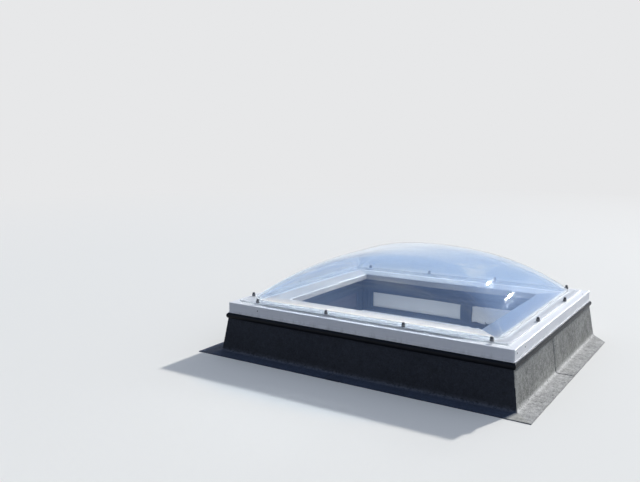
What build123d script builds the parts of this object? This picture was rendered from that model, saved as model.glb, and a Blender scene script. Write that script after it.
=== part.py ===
from build123d import *
from math import pi, sin
import os

# Fixed dome rooflight on an insulated timber kerb covered with felt, in millimetres.
# The origin is on the roof surface at the centre of the kerb, X along the long side, +Z up.

# White frame, measured over its outside faces
frame_length = 1990.0
frame_width = 1690.0
frame_wall = 3.0
frame_web = 2.5
frame_height = 70.0
frame_depth = 150.0
screw_chamber = 34.0
inner_chambers = 2
frame_corner = 7.0
frame_edge = 2.5
drip_lip = 6.0
drip_lip_height = 4.0
drip_groove = 2.5
drip_groove_height = 4.0
foot_width = 12.0
foot_height = 15.0
fixing_flange = 32.0

# Kerb
kerb_height = 258.0
sole_height = 45.0
rail_height = 90.0
upstand_width = 38.0
upstand_gap = 5.0
stud_width = 95.0
stud_centre_long = 145.0
stud_centre_short = 0.0
panel_thickness = 100.0
panel_recess = 8.0
board_thickness = 18.0

# Felt covering; outsets are measured from the frame's outside faces
base_outset = 36.0
felt_top_outset = 3.0
felt = 4.0
felt_foot = 150.0
felt_lap = 100.0
lap_joggle = 8.0
lap_place = -20.0
dog_ear = 150.0

# Black edge trim under the frame
trim_drop = 32.0
trim_flange = 40.0
trim_flange_thickness = 2.5
trim_nose = 14.0
trim_wall = 2.5
trim_seat = 8.0

# Seals
gasket_height = 7.0
gasket_gap = 2.0
tape_gap = 12.0
tape_height = 2.0
tape_width = 34.0
spacer_height = 3.0
spacer_width = 24.0
cut_corner = 4.0

# Ledge boards round the light well
ledge_overhang = 75.0
ledge_thickness = 45.0
ledge_nose = 8.0
fit_gap = 0.5
pick_range = 0.5

# Blown dome skins
flange_inset = 45.0
flange_corner = 25.0
outer_flange = 4.0
inner_flange = 3.0
inner_flange_setback = 3.0
riser_inset = 115.0
riser_corner = 65.0
spring_height = 25.0
crown_rise = 323.0
arch_long = 2.0
arch_short = 3.2
ridge_sharpness = 3.0
corner_ease = 0.15
skin_gap = 14.0
inner_spring_drop = 8.0
inner_crown_drop = 26.0
skirt_round = 6.0
crown_margin = 8.0
crown_steps = 12
crown_tolerance = 1.0

# Dome screws under weather caps
screw_edge = 15.0
long_start = 204.0
long_end = 151.0
long_pitch = 545.0
right_start = 619.0
right_end = 455.0
right_pitch = 616.0
left_start = 200.0
left_end = 350.0
left_pitch = 570.0
screw_shank = 6.0
screw_hole = 6.8
screw_length = 32.0
screw_head = 10.0
screw_head_height = 6.0
washer_diameter = 24.0
washer_height = 2.5
cup_diameter = 24.0
cup_height = 12.0
cup_wall = 2.0
cap_diameter = 19.0
cap_height = 22.0
cap_wall = 2.0
cap_bevel = 2.0

# Small screws in the frame's outside faces
side_screw_shank = 4.0
side_screw_head = 8.0
side_screw_head_height = 2.0
side_screw_length = 14.0
side_screw_hole = 4.6
side_screw_level = 28.0
side_screws_long = (246.0,)
side_screws_short = (46.0, 183.0)
top_screw_end = 129.0
top_screw_inset = 20.0

# Screws that hold the frame down to the kerb
anchor_shank = 5.0
anchor_hole = 5.8
anchor_head = 8.0
anchor_head_height = 4.0
anchor_length = 60.0
anchor_pitch = 700.0
anchor_end = 330.0

frame_bottom = kerb_height + gasket_height
frame_top = frame_bottom + frame_height
ledge_bottom = frame_top - ledge_thickness
kerb_inset = frame_depth + fixing_flange + upstand_gap + upstand_width
ledge_inset = kerb_inset + ledge_overhang
felt_line = kerb_height - trim_drop
screw_inset = flange_inset + screw_edge
tape_inset = screw_inset + tape_gap
rail_bottom = kerb_height - rail_height
stud_height = rail_bottom - sole_height
tape_top = frame_top + tape_height
inner_flange_top = tape_top + inner_flange
outer_flange_bottom = inner_flange_top + spacer_height
outer_flange_top = outer_flange_bottom + outer_flange
splay = (base_outset - felt_top_outset) / felt_line
overreach = 2 * felt_foot

pieces = {}


def keep(name, part):
    part.label = name
    pieces[name] = part


def face_out(z):
    """How far the felted face stands outside the frame line at height z."""
    return base_outset - splay * z


class Side:
    """A side of the rooflight: 'out' points away from its middle, 'along' runs to the right."""

    def __init__(self, name, out, half, reach):
        self.name = name
        self.out = Vector(*out)
        self.along = Vector(0, 0, 1).cross(self.out)
        self.half = half
        self.reach = reach

    def place(self, s, outset, z):
        return self.along * s + self.out * (self.reach + outset) + Vector(0, 0, z)

    def section(self, s=0.0):
        """The plane across the side, x outwards from the frame line and y up."""
        return Plane(self.place(s, 0, 0), x_dir=self.out, z_dir=self.out.cross(Vector(0, 0, 1)))

    def mitre(self, end):
        """The upright plane on a corner's diagonal, facing this side's own length."""
        return Plane(self.place(end * self.half, 0, 0), z_dir=self.out - self.along * end)


half_length = frame_length / 2
half_width = frame_width / 2
front = Side("front", (0, -1, 0), half_length, half_width)
right = Side("right", (1, 0, 0), half_width, half_length)
back = Side("back", (0, 1, 0), half_length, half_width)
left = Side("left", (-1, 0, 0), half_width, half_length)
sides = (front, right, back, left)


def mitred_length(side, profile):
    """A member along one side, cut on both corner diagonals."""
    with BuildPart() as member:
        with BuildSketch(side.section()):
            add(profile.sketch)
        extrude(amount=side.half + overreach, both=True)
        for end in (-1, 1):
            split(bisect_by=side.mitre(end), keep=Keep.TOP)
    return member


def straight_length(side, profile, start, end):
    """A member along one side, cut square at start and end."""
    with BuildPart() as member:
        with BuildSketch(side.section(end)):
            add(profile.sketch)
        extrude(amount=end - start)
    return member


def spread(start, end, pitch):
    """Evenly spaced places from start to end, about a pitch apart."""
    gaps = max(1, round((end - start) / pitch))
    return [start + (end - start) * count / gaps for count in range(gaps + 1)]


def screw_places():
    """Every dome screw in plan; the starts and ends are measured from the left and from the front."""
    long = spread(long_start - half_length, half_length - long_end, long_pitch)
    right_row = spread(right_start - half_width, half_width - right_end, right_pitch)
    left_row = spread(left_start - half_width, half_width - left_end, left_pitch)
    places = [front.place(s, -screw_inset, 0) for s in long]
    places += [back.place(-s, -screw_inset, 0) for s in long]
    places += [right.place(s, -screw_inset, 0) for s in right_row]
    places += [left.place(-s, -screw_inset, 0) for s in left_row]
    return places


def anchor_places():
    """Every frame anchor in plan, spaced evenly between the corners."""
    places = []
    for side in sides:
        reach = side.half - anchor_end
        for s in spread(-reach, reach, anchor_pitch):
            places.append(side.place(s, -frame_depth - fixing_flange / 2, 0))
    return places


screws = screw_places()
anchors = anchor_places()


# Timber kerb: bevelled sole plates and rebated head rails
core_out = [face_out(z) - felt - board_thickness for z in (0, sole_height, rail_bottom, kerb_height)]

with BuildSketch() as sole_profile:
    with BuildLine():
        Polyline(
            (-kerb_inset, 0),
            (core_out[0], 0),
            (core_out[1], sole_height),
            (-kerb_inset, sole_height),
            close=True,
        )
    make_face()

with BuildSketch() as rail_profile:
    with BuildLine():
        Polyline(
            (-kerb_inset, rail_bottom),
            (core_out[2], rail_bottom),
            (core_out[3], kerb_height),
            (-kerb_inset + upstand_width, kerb_height),
            (-kerb_inset + upstand_width, ledge_bottom),
            (-kerb_inset, ledge_bottom),
            close=True,
        )
    make_face()

with BuildSketch() as stud_profile:
    with BuildLine():
        Polyline(
            (-kerb_inset, sole_height),
            (core_out[1], sole_height),
            (core_out[2], rail_bottom),
            (-kerb_inset, rail_bottom),
            close=True,
        )
    make_face()

with BuildSketch() as panel_profile:
    with Locations((-kerb_inset + panel_recess + panel_thickness / 2, sole_height + stud_height / 2)):
        Rectangle(panel_thickness, stud_height - 2 * fit_gap)

with BuildSketch() as board_profile:
    with BuildLine():
        Polyline(
            (face_out(0) - felt, 0),
            (face_out(kerb_height) - felt, kerb_height),
            (core_out[3], kerb_height),
            (core_out[0], 0),
            close=True,
        )
    make_face()

for side in sides:
    keep(f"sole_plate_{side.name}", mitred_length(side, sole_profile).part)
    rail = mitred_length(side, rail_profile)
    with BuildPart() as head_rail:
        add(rail.part)
        with Locations(*[place + Vector(0, 0, kerb_height) for place in anchors]):
            Hole(anchor_hole / 2, depth=anchor_length)
    keep(f"head_rail_{side.name}", head_rail.part)
    keep(f"sheathing_{side.name}", mitred_length(side, board_profile).part)
    wall_end = side.half - kerb_inset
    centre = stud_centre_long if side in (front, back) else stud_centre_short
    centre = -centre if side is back else centre
    studs = [
        (-wall_end, -wall_end + stud_width),
        (centre - stud_width / 2, centre + stud_width / 2),
        (wall_end - stud_width, wall_end),
    ]
    for where, (start, end) in zip(("left", "middle", "right"), studs):
        keep(f"stud_{side.name}_{where}", straight_length(side, stud_profile, start, end).part)
    for where, before, after in (("left", studs[0], studs[1]), ("right", studs[1], studs[2])):
        panel = straight_length(side, panel_profile, before[1] + fit_gap, after[0] - fit_gap)
        keep(f"infill_panel_{side.name}_{where}", panel.part)


# Felt: two lapped sheets to a side, dressed down the face and out on the roof
def felt_profile(layer):
    """The felt's section: layer 0 lies on the kerb and the roof, layer 1 on layer 0."""
    low = layer * felt
    top = felt_line - felt if layer else kerb_height
    with BuildSketch() as profile:
        with BuildLine():
            Polyline(
                (felt_foot, low),
                (felt_foot, low + felt),
                (face_out(low + felt) + low, low + felt),
                (face_out(top) + low, top),
                (face_out(top) + low - felt, top),
                (face_out(low) + low - felt, low),
                close=True,
            )
        make_face()
    return profile


lower_felt = felt_profile(0)
upper_felt = felt_profile(1)


def dog_ear_waste(side, end):
    """What is cut off a foot's end, on a slant from the kerb's corner to the foot's edge."""
    corner = side.half + base_outset
    outline = [
        side.place(end * s, outset, 0)
        for s, outset in (
            (corner, base_outset),
            (corner - dog_ear, felt_foot + felt),
            (corner + overreach, felt_foot + felt),
            (corner + overreach, base_outset),
        )
    ]
    with BuildPart() as waste:
        with BuildSketch():
            with BuildLine():
                Polyline(*outline, close=True)
            make_face()
        extrude(amount=2 * felt)
    return waste


dog_ears = {right: 1, back: 0, left: -1}
for side in sides:
    lap_s = -lap_place if side is left else lap_place
    whole = mitred_length(side, lower_felt)
    joint = side.place(lap_s, 0, 0)
    lapped = straight_length(side, upper_felt, lap_s - felt_lap, lap_s + lap_joggle)
    for where, turn in (("left", -1), ("right", 1)):
        with BuildPart() as sheet:
            add(whole.part)
            split(bisect_by=Plane(joint, z_dir=side.along * turn), keep=Keep.TOP)
            if where == "right":
                add(lapped.part)
            if side in dog_ears and turn * dog_ears[side] >= 0:
                add(dog_ear_waste(side, turn).part, mode=Mode.SUBTRACT)
        keep(f"felt_{side.name}_{where}", sheet.part)


# Black edge trim: a flange on the kerb head, a leg over the felt and a hollow rounded nose
trim_leg_top = face_out(kerb_height) + fit_gap
trim_leg_foot = face_out(felt_line) + fit_gap
trim_top = kerb_height + gasket_height
trim_middle = (felt_line + trim_top) / 2
chamber_foot = felt_line + 2 * trim_wall
chamber_top = trim_top - trim_wall

with BuildSketch() as trim_profile:
    with BuildLine():
        Polyline(
            (2 * trim_wall - trim_seat, trim_top),
            (-trim_seat, trim_top),
            (-trim_seat, kerb_height + trim_flange_thickness),
            (-trim_flange, kerb_height + trim_flange_thickness),
            (-trim_flange, kerb_height),
            (trim_leg_top, kerb_height),
            (trim_leg_foot, felt_line),
            (trim_leg_foot + trim_wall, felt_line),
        )
        ThreePointArc(
            (trim_leg_foot + trim_wall, felt_line),
            (trim_nose, trim_middle),
            (2 * trim_wall - trim_seat, trim_top),
        )
    make_face()
    with BuildLine():
        ThreePointArc(
            (face_out(chamber_foot) + fit_gap + trim_wall, chamber_foot),
            (trim_nose - trim_wall, trim_middle),
            (trim_leg_top + trim_wall, chamber_top - trim_wall),
        )
        Polyline(
            (trim_leg_top + trim_wall, chamber_top - trim_wall),
            (trim_leg_top + trim_wall, kerb_height),
            (face_out(chamber_foot) + fit_gap + trim_wall, chamber_foot),
        )
    make_face(mode=Mode.SUBTRACT)

for side in sides:
    keep(f"edge_trim_{side.name}", mitred_length(side, trim_profile).part)


def flat_ring(outer_inset, outer_corner, width, low, height, holes=(), hole=0.0):
    """A flat ring that follows the frame, with a row of holes."""
    inner_corner = max(outer_corner - width, cut_corner)
    with BuildPart() as ring:
        with BuildSketch(Plane.XY.offset(low)):
            RectangleRounded(frame_length - 2 * outer_inset, frame_width - 2 * outer_inset, outer_corner)
            length = frame_length - 2 * (outer_inset + width)
            breadth = frame_width - 2 * (outer_inset + width)
            RectangleRounded(length, breadth, inner_corner, mode=Mode.SUBTRACT)
        extrude(amount=height)
        if holes:
            with Locations(*[place + Vector(0, 0, low + height) for place in holes]):
                Hole(hole / 2, depth=height)
    return ring


gasket_inset = trim_flange + gasket_gap
gasket_width = frame_depth + fixing_flange - gasket_inset - gasket_gap
base_gasket = flat_ring(
    gasket_inset, cut_corner, gasket_width, kerb_height, gasket_height, anchors, anchor_hole
)
keep("base_gasket", base_gasket.part)

# White frame: hollow chambered section, welded at the mitres into one ring
groove_low = frame_bottom + drip_lip_height
groove_high = groove_low + drip_groove_height
chamber_roof = frame_top - frame_wall
chamber_floor = frame_bottom + frame_wall
screw_chamber_start = screw_inset - screw_chamber / 2
inner_start = screw_inset + screw_chamber / 2 + frame_web
inner_width = (frame_depth - frame_wall - inner_start - (inner_chambers - 1) * frame_web) / inner_chambers

outer_chamber = [
    (-frame_wall, chamber_roof),
    (frame_web - screw_chamber_start, chamber_roof),
    (frame_web - screw_chamber_start, chamber_floor),
    (-frame_wall - foot_width, chamber_floor),
    (-frame_wall - foot_width, chamber_floor + foot_height),
    (-frame_wall, chamber_floor + foot_height),
]
chamber_spans = [(screw_chamber_start, screw_chamber)]
for number in range(inner_chambers):
    chamber_spans.append((inner_start + number * (inner_width + frame_web), inner_width))

with BuildSketch() as frame_profile:
    with BuildLine():
        Polyline(
            (drip_lip, frame_bottom),
            (drip_lip, groove_low),
            (-drip_groove, groove_low),
            (-drip_groove, groove_high),
            (0, groove_high),
            (0, frame_top),
            (-frame_depth, frame_top),
            (-frame_depth, frame_bottom + frame_wall),
            (-frame_depth - fixing_flange, frame_bottom + frame_wall),
            (-frame_depth - fixing_flange, frame_bottom),
            close=True,
        )
    make_face()
    with BuildLine():
        Polyline(*outer_chamber, close=True)
    make_face(mode=Mode.SUBTRACT)
    for start, width in chamber_spans:
        with Locations((-start - width / 2, (chamber_floor + chamber_roof) / 2)):
            Rectangle(width, chamber_roof - chamber_floor, mode=Mode.SUBTRACT)


def face_screw_planes():
    """Planes of the small screws, facing out of the frame's outside faces."""
    planes = []
    for side in sides:
        for first in side_screws_long if side in (front, back) else side_screws_short:
            seat = side.place(first - side.half, 0, frame_top - side_screw_level)
            planes.append(Plane(seat, z_dir=side.out))
    for side in (left, right):
        seat = side.place(side.half - top_screw_end, -top_screw_inset, frame_top)
        planes.append(Plane(seat, z_dir=(0, 0, 1)))
    return planes


def corner_edges(part, outset):
    """The upright edges that stand on the four corners of a ring at this outset."""
    x, y = half_length + outset, half_width + outset
    upright = part.edges().filter_by(Axis.Z)
    return upright.filter_by(
        lambda edge: abs(abs(edge.center().X) - x) < pick_range
        and abs(abs(edge.center().Y) - y) < pick_range
    )


frame_lengths = [mitred_length(side, frame_profile) for side in sides]
face_planes = face_screw_planes()
with BuildPart() as roof_frame:
    for member in frame_lengths:
        add(member.part)
    fillet(corner_edges(roof_frame.part, drip_lip), radius=frame_corner + drip_lip)
    fillet(corner_edges(roof_frame.part, 0), radius=frame_corner)
    fillet(roof_frame.faces().sort_by(Axis.Z)[-1].outer_wire().edges(), radius=frame_edge)
    with Locations(*[place + Vector(0, 0, frame_top) for place in screws]):
        Hole(screw_hole / 2, depth=frame_wall)
    with Locations(*[place + Vector(0, 0, frame_bottom + frame_wall) for place in anchors]):
        Hole(anchor_hole / 2, depth=frame_wall)
    with Locations(*[Location(plane) for plane in face_planes]):
        Hole(side_screw_hole / 2, depth=frame_wall)
keep("roof_frame", roof_frame.part)

# White ledge boards round the light well, with a rounded nose
ledge_outer = -frame_depth - fit_gap
with BuildSketch() as ledge_profile:
    with BuildLine():
        Polyline(
            (ledge_outer, ledge_bottom),
            (ledge_outer, frame_top),
            (-ledge_inset, frame_top),
            (-ledge_inset, ledge_bottom),
            close=True,
        )
    make_face()
    fillet(ledge_profile.vertices().group_by(Axis.X)[0], radius=ledge_nose)

for side in sides:
    keep(f"ledge_board_{side.name}", mitred_length(side, ledge_profile).part)

# Seals between the frame and the dome skins, inside the line of screws
glazing_tape = flat_ring(tape_inset, cut_corner, tape_width, frame_top, tape_height)
keep("glazing_tape", glazing_tape.part)
spacer_tape = flat_ring(tape_inset, cut_corner, spacer_width, inner_flange_top, spacer_height)
keep("spacer_tape", spacer_tape.part)


# Dome skins: blown crown on an upright riser, with a flat screw flange
def crown_share(u, v):
    """Share of the rise at a place in plan: 1 in the middle, 0 round the riser and less outside it.

    An arch spans each direction; the lower of the two leads, and soft ridges join them.
    """
    arches = (1 - abs(u) ** arch_long, 1 - abs(v) ** arch_short)
    blend = sum((arch + corner_ease) ** -ridge_sharpness for arch in arches)
    return blend ** (-1 / ridge_sharpness) - corner_ease


def crown_face(reach_x, reach_y, spring, rise):
    """The blown surface over a rectangle a little larger than the riser."""
    across_x = 1 + crown_margin / reach_x
    across_y = 1 + crown_margin / reach_y
    turns = [sin(pi / 2 * (2 * count / crown_steps - 1)) for count in range(crown_steps + 1)]
    scale = rise / crown_share(0, 0)
    rows = []
    for turn in turns:
        u = across_x * turn
        row = []
        for other in turns:
            v = across_y * other
            row.append((reach_x * u, reach_y * v, spring + scale * crown_share(u, v)))
        rows.append(row)
    return Face.make_surface_from_array_of_points(rows, tol=crown_tolerance, min_deg=3, max_deg=8)


def blown_block(inset, corner, base, spring, rise):
    """The solid under a crown, inside the riser's outline."""
    reach_x, reach_y = half_length - inset, half_width - inset
    crown = crown_face(reach_x, reach_y, spring, rise)
    with BuildPart() as block:
        with BuildSketch(Plane.XY.offset(base)):
            RectangleRounded(2 * reach_x, 2 * reach_y, corner)
        extrude(amount=spring + 2 * rise - base)
        split(bisect_by=crown, keep=Keep.BOTTOM)
    return block


def riser_foot(part, inset, level):
    """The edges where a riser stands on its flange."""
    reach = half_length - inset + pick_range
    level_edges = part.edges().filter_by_position(Axis.Z, level - pick_range, level + pick_range)
    return level_edges.filter_by(
        lambda edge: edge.bounding_box().size.Z < pick_range
        and edge.bounding_box().max.X < reach
        and edge.bounding_box().min.X > -reach
    )


def dome_skin(edge_inset, edge_corner, base, thickness, inset, corner, spring, rise):
    """A skin of one thickness: flange, riser and crown."""
    outside = blown_block(inset, corner, base, spring, rise)
    inside = blown_block(inset + thickness, corner - thickness, base - thickness, spring, rise - thickness)
    with BuildPart() as skin:
        with BuildSketch(Plane.XY.offset(base)):
            RectangleRounded(frame_length - 2 * edge_inset, frame_width - 2 * edge_inset, edge_corner)
        extrude(amount=thickness)
        add(outside.part)
        fillet(riser_foot(skin.part, inset, base + thickness), radius=skirt_round)
        add(inside.part, mode=Mode.SUBTRACT)
        with Locations(*[place + Vector(0, 0, base + thickness) for place in screws]):
            Hole(screw_hole / 2, depth=thickness)
    return skin


spring = frame_top + spring_height
dome_outer = dome_skin(
    flange_inset,
    flange_corner,
    outer_flange_bottom,
    outer_flange,
    riser_inset,
    riser_corner,
    spring,
    crown_rise,
)
keep("dome_outer", dome_outer.part)

inner_inset = riser_inset + outer_flange + skin_gap
dome_inner = dome_skin(
    flange_inset + inner_flange_setback,
    flange_corner - inner_flange_setback,
    tape_top,
    inner_flange,
    inner_inset,
    riser_corner - outer_flange - skin_gap,
    spring - inner_spring_drop,
    crown_rise - inner_crown_drop,
)
keep("dome_inner", dome_inner.part)


# Fasteners
def turned(outline):
    """A turned piece from its half section, radius first and height second."""
    with BuildPart() as piece:
        with BuildSketch(Plane.XZ):
            with BuildLine():
                Polyline(*outline, close=True)
            make_face()
        revolve(axis=Axis.Z)
    return piece


def hexagon_screw(shank, length, across_flats, head_height):
    """A hexagon head on a plain shank, its seat at height 0."""
    with BuildPart() as piece:
        with BuildSketch():
            RegularPolygon(across_flats / 2, 6, major_radius=False)
        extrude(amount=head_height)
        with BuildSketch():
            Circle(shank / 2)
        extrude(amount=-length)
    return piece


def group(piece, places):
    """The same piece at each place."""
    with BuildPart() as several:
        with Locations(*places):
            add(piece.part)
    return several


washer_base = outer_flange_top
cup_base = washer_base + washer_height
screw_seat = cup_base + cup_wall
washer = turned(
    [
        (screw_hole / 2, 0),
        (washer_diameter / 2, 0),
        (washer_diameter / 2, washer_height),
        (screw_hole / 2, washer_height),
    ]
)
cup = turned(
    [
        (screw_hole / 2, 0),
        (cup_diameter / 2, 0),
        (cup_diameter / 2, cup_height),
        (cup_diameter / 2 - cup_wall, cup_height),
        (cup_diameter / 2 - cup_wall, cup_wall),
        (screw_hole / 2, cup_wall),
    ]
)
cap_bore = cap_diameter / 2 - cap_wall
cap = turned(
    [
        (0, cap_height),
        (cap_diameter / 2 - cap_bevel, cap_height),
        (cap_diameter / 2, cap_height - cap_bevel),
        (cap_diameter / 2, 0),
        (cap_bore, 0),
        (cap_bore, cap_height - cap_wall),
        (0, cap_height - cap_wall),
    ]
)
dome_screw = hexagon_screw(screw_shank, screw_length, screw_head, screw_head_height)
anchor = hexagon_screw(anchor_shank, anchor_length, anchor_head, anchor_head_height)
face_screw = turned(
    [
        (0, side_screw_head_height),
        (side_screw_head / 2, side_screw_head_height),
        (side_screw_head / 2, 0),
        (side_screw_shank / 2, 0),
        (side_screw_shank / 2, -side_screw_length),
        (0, -side_screw_length),
    ]
)


def raised(places, height):
    return [place + Vector(0, 0, height) for place in places]


keep("screw_washers", group(washer, raised(screws, washer_base)).part)
keep("screw_cups", group(cup, raised(screws, cup_base)).part)
keep("screw_caps", group(cap, raised(screws, screw_seat)).part)
keep("dome_screws", group(dome_screw, raised(screws, screw_seat)).part)
keep("frame_anchors", group(anchor, raised(anchors, frame_bottom + frame_wall)).part)
keep("frame_face_screws", group(face_screw, [Location(plane) for plane in face_planes]).part)

os.makedirs("parts", exist_ok=True)
for name, part in pieces.items():
    export_step(part, f"parts/{name}.step")
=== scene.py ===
"""Dresses a fixed dome rooflight: blown skins, lapped felt, capped screws and each piece's finish."""

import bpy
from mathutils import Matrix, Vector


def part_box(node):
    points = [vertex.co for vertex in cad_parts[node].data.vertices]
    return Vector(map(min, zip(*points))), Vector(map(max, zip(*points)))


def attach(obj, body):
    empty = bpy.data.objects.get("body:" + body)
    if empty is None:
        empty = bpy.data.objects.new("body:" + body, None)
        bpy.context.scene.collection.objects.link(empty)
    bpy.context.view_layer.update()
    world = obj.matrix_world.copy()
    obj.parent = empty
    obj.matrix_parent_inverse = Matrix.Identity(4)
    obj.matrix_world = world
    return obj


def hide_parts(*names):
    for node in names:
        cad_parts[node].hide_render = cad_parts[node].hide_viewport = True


bl_info = {
    "name": "Dome Rooflight",
    "version": (1, 0, 0),
    "blender": (4, 5, 0),
    "location": "3D View > Sidebar > Rooflight",
    "description": "Builds the visible pieces and finishes of a fixed dome rooflight on a felted kerb",
    "category": "Object",
}

from math import cos, exp, pi, radians, sin, sqrt

import bmesh
import bpy
from bpy.props import FloatProperty, FloatVectorProperty, IntProperty, PointerProperty
from mathutils import Vector
from mathutils import noise as field

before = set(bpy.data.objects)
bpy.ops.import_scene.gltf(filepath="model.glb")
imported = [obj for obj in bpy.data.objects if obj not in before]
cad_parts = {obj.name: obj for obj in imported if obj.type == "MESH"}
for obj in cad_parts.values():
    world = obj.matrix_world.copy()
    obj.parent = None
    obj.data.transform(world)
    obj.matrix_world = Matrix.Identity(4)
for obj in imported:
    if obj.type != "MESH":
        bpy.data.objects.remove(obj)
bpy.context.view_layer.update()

BODY = "root"
SIDE_NAMES = ("front", "right", "back", "left")


# Places read from the frame
def high_corner(node):
    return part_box(node)[1]


def low_corner(node):
    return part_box(node)[0]


CAP_REACH = 0.05
FACE_SCREW_REACH = 0.03
FRAME_TOP = high_corner("roof_frame").z
FELT_TOP = high_corner("felt_front_left").z


def frame_half():
    """Half the frame's length and width over its outside faces."""
    foot = settings("felt").foot
    return high_corner("felt_right_left").x - foot, high_corner("felt_back_left").y - foot


def islands(node, reach):
    """The box of each separate piece of a node, where no piece is wider than reach."""
    found = []
    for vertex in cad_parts[node].data.vertices:
        point = vertex.co.copy()
        for low, high in found:
            if all(high[i] - reach < point[i] < low[i] + reach for i in range(3)):
                for i in range(3):
                    low[i] = min(low[i], point[i])
                    high[i] = max(high[i], point[i])
                break
        else:
            found.append((point.copy(), point.copy()))
    return found


def upright_seats(node, reach):
    """Where each separate piece of a node stands: the middle of its underside."""
    return [((low.x + high.x) / 2, (low.y + high.y) / 2, low.z) for low, high in islands(node, reach)]


# Settings
def length_setting(name, default, description):
    return FloatProperty(name=name, description=description, default=default, unit="LENGTH")


def number_setting(name, default, description):
    return FloatProperty(name=name, description=description, default=default)


def seed_setting(default, description):
    return IntProperty(name="Seed", description=description, default=default)


def colour_setting(name, default, description):
    return FloatVectorProperty(
        name=name, description=description, default=default, subtype="COLOR", min=0.0, max=1.0
    )


class RooflightDome(bpy.types.PropertyGroup):
    outer_riser_height: length_setting("Outer Riser Height", 0.013, "Height of the outer crown's foot")
    outer_riser_inset: length_setting("Outer Riser Inset", 0.070, "Width of the outer skin's flange")
    outer_riser_corner: length_setting("Outer Riser Corner", 0.065, "Corner radius of the outer riser")
    outer_wall: length_setting("Outer Wall", 0.004, "Thickness of the outer skin")
    inner_wall: length_setting("Inner Wall", 0.003, "Thickness of the inner skin")
    inner_riser_inset: length_setting("Inner Riser Inset", 0.085, "Width of the inner skin's flange")
    inner_riser_corner: length_setting("Inner Riser Corner", 0.047, "Corner radius of the inner riser")
    inner_riser_height: length_setting("Inner Riser Height", 0.012, "Height of the inner crown's foot")
    outer_flange_corner: length_setting("Outer Flange Corner", 0.025, "Corner radius of the outer flange")
    inner_flange_corner: length_setting("Inner Flange Corner", 0.022, "Corner radius of the inner flange")
    foot_round: length_setting("Foot Round", 0.006, "Radius where the riser leaves the flange")
    brim_round: length_setting("Brim Round", 0.007, "How far the soft bend between riser and crown reaches")
    arch_long: number_setting("Long Arch", 2.0, "Power of the arch over the long direction")
    arch_short: number_setting("Short Arch", 3.2, "Power of the arch over the short direction")
    ridge: number_setting("Ridge Sharpness", 3.0, "How sharply the two arches meet along the corner ridges")
    ease: number_setting("Corner Ease", 0.15, "How far the crown's foot follows the rounded corners")
    outer_haze: number_setting("Outer Haze", 0.05, "Roughness of the outer skin where weather has dulled it")
    inner_haze: number_setting("Inner Haze", 0.03, "Roughness of the inner skin where moisture has dulled it")
    tint: colour_setting("Tint", (0.875, 0.925, 0.975), "Colour of the clear sheet")
    hole: length_setting("Screw Hole", 0.0068, "Diameter of the flange's screw holes")


class RooflightFelt(bpy.types.PropertyGroup):
    thickness: length_setting("Thickness", 0.004, "Thickness of one felt sheet")
    foot: length_setting("Foot", 0.150, "How far the felt's foot reaches out from the frame line")
    base_outset: length_setting("Base Outset", 0.036, "How far the face's foot stands outside the frame line")
    splay: number_setting("Splay", 0.033 / 0.226, "How much the face leans in for each metre of height")
    lap: length_setting("Lap", 0.100, "How far one sheet lies over the other")
    lap_place: length_setting("Lap Place", -0.020, "Where the lower sheet ends, from the middle of a side")
    lap_ramp: length_setting("Lap Ramp", 0.016, "Length over which the upper sheet comes down")
    dog_ear: length_setting("Dog Ear", 0.150, "How far a foot's end is cut back on a slant")
    fold_round: length_setting("Fold Round", 0.016, "Radius of the felt where it turns out on the roof")
    # Two copies of one felt: the front and left tone is painted shade, the right and back tone is the felt's
    # lit colour
    painted_shade_tone: colour_setting("Fresh Granules", (0.034, 0.038, 0.048), "Colour on the front and the left")
    lit_side_tone: colour_setting("Bleached Granules", (0.300, 0.300, 0.280), "Colour on the right and the back")
    seam_height: length_setting("Seam Height", 0.035, "How far up the face the bitumen of a lap shows")
    seed: seed_setting(7, "Seed of the unevenness")


class RooflightFixings(bpy.types.PropertyGroup):
    cap_colour: colour_setting("Cap", (0.055, 0.059, 0.066), "Colour of the weather caps")
    cup_colour: colour_setting("Cup", (0.20, 0.21, 0.225), "Colour of the milky ring under each cap")
    cap_lean: FloatProperty(
        name="Cap Lean", description="How far a cap may lean", default=0.035, unit="ROTATION"
    )
    seed: seed_setting(3, "Seed of the screws' turns")


class RooflightStage(bpy.types.PropertyGroup):
    floor_colour: colour_setting("Floor", (0.875, 0.868, 0.825), "Colour of the plain floor")
    far_colour: colour_setting("Distance", (0.80, 0.805, 0.815), "Colour that the floor fades to")
    sun_strength: number_setting("Sun", 3.0, "Strength of the key light")
    sky_strength: number_setting("Sky", 0.66, "Strength of the soft light all round")
    sky_glow: number_setting("Reflected Sky", 1.0, "Strength of the blue sky that gloss and glass reflect")
    # Glow painted on the shaft's surfaces, in place of a lit room below
    painted_well_glow: number_setting("Well Glow", 0.42, "Strength of the light from the room below the light well")


def settings(name):
    return getattr(bpy.context.scene, "rooflight_" + name)


def clamped(value):
    return min(1.0, max(0.0, value))


# Short calls for node trees
def reckoning(operation, swapped=False):
    """A method that adds a maths node to the tree of a value."""

    def method(self, other=0.0):
        first, second = (other, self) if swapped else (self, other)
        return put(self.tree, "ShaderNodeMath", {0: first, 1: second}, operation=operation)

    return method


class Value:
    """A node's output that can be reckoned with like a number."""

    def __init__(self, tree, socket):
        self.tree = tree
        self.socket = socket

    __add__ = __radd__ = reckoning("ADD")
    __sub__ = reckoning("SUBTRACT")
    __rsub__ = reckoning("SUBTRACT", swapped=True)
    __mul__ = __rmul__ = reckoning("MULTIPLY")
    __truediv__ = reckoning("DIVIDE")
    __rtruediv__ = reckoning("DIVIDE", swapped=True)
    __pow__ = reckoning("POWER")
    __abs__ = reckoning("ABSOLUTE")
    larger = reckoning("MAXIMUM")
    below = reckoning("LESS_THAN")


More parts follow.
